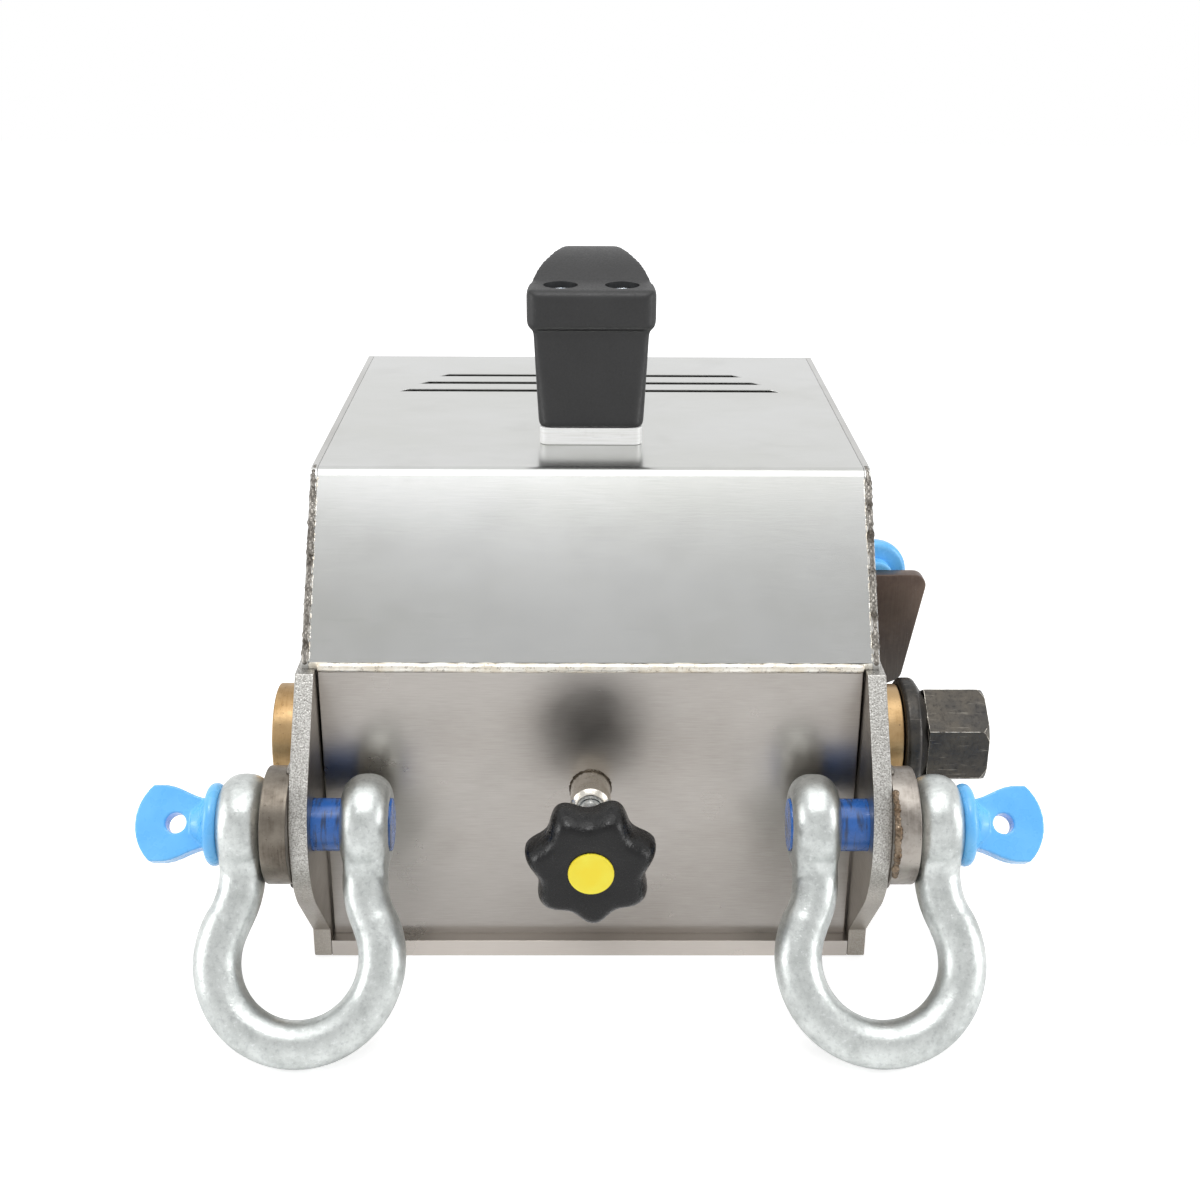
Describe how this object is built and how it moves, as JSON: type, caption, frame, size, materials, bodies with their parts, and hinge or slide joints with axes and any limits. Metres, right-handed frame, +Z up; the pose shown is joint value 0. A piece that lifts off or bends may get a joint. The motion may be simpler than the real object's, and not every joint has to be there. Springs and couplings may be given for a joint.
{
  "type": "winch",
  "caption": "Portable drive-shaft winch in a sloped steel housing with a top carrying handle, front shackles, a hexagon drive and a star-knob lock screw.",
  "frame": {"origin": "centre of the base plate's underside", "axes": "+Z up, front panel facing -Y, hexagon drive on +X"},
  "size_m": [0.3838, 0.3495, 0.2915],
  "materials": {
    "stainless": "brushed",
    "weld": "as welded, bright",
    "boss_steel": "dull, heat tinted",
    "bronze": "machined",
    "black_steel": "blackened, worn bright on the edges",
    "drum_steel": "machined",
    "galvanised": "hot-dip galvanised",
    "blue_paint": "gloss",
    "zinc": "bright zinc",
    "black_plastic": "fine grained",
    "yellow_plastic": "satin",
    "spacer_alloy": "machined"
  },
  "bodies": {
    "housing": {"base_plate": "stainless", "left_side_plate": "stainless", "right_side_plate": "stainless", "front_panel": "stainless", "rear_panel": "stainless", "front_seam": "weld", "hood_cover": "stainless", "hood_left_side": "stainless", "hood_right_side": "stainless", "left_pin_boss": "boss_steel", "right_pin_boss": "boss_steel", "left_shaft_bush": "bronze", "right_shaft_bush": "bronze", "lock_boss": "stainless", "front_handle_spacer": "spacer_alloy", "rear_handle_spacer": "spacer_alloy", "carry_handle": "black_plastic", "handle_inserts": "zinc", "side_bracket": "boss_steel", "bracket_peg": "blue_paint", "bracket_peg_head": "blue_paint"},
    "drum": {"drive_shaft": "black_steel", "drive_hex": "black_steel", "drum_barrel": "drum_steel", "left_drum_flange": "drum_steel", "right_drum_flange": "drum_steel"},
    "left_shackle": {"left_shackle_bow": "galvanised", "left_shackle_pin": "blue_paint"},
    "right_shackle": {"right_shackle_bow": "galvanised", "right_shackle_pin": "blue_paint"},
    "lock_screw": {"lock_stud": "zinc"},
    "lock_handwheel": {"lock_knob": "black_plastic", "lock_knob_cap": "yellow_plastic"}
  },
  "joints": [
    {"name": "drum_spin", "type": "hinge", "parent": "housing", "child": "drum", "pos_m": [0, -0.074, 0.083], "axis": [1, 0, 0], "continuous": true},
    {"name": "left_shackle_swing", "type": "hinge", "parent": "housing", "child": "left_shackle", "pos_m": [-0.1204, -0.152, 0.08], "axis": [-1, 0, 0], "range_deg": [-42, 148]},
    {"name": "right_shackle_swing", "type": "hinge", "parent": "housing", "child": "right_shackle", "pos_m": [0.1204, -0.152, 0.08], "axis": [-1, 0, 0], "range_deg": [-42, 148]},
    {"name": "lock_feed", "type": "slide", "parent": "housing", "child": "lock_screw", "axis": [0, 1, 0], "range_m": [-0.00603, 0.00753]},
    {"name": "lock_turn", "type": "hinge", "parent": "lock_screw", "child": "lock_handwheel", "pos_m": [0, -0.174, 0.083], "axis": [0, 1, 0], "range_deg": [-1440, 1800]}
  ],
  "couplings": [
    {"joint": "lock_feed", "follows": "lock_turn", "m_per_rad": 0.00023873}
  ]
}
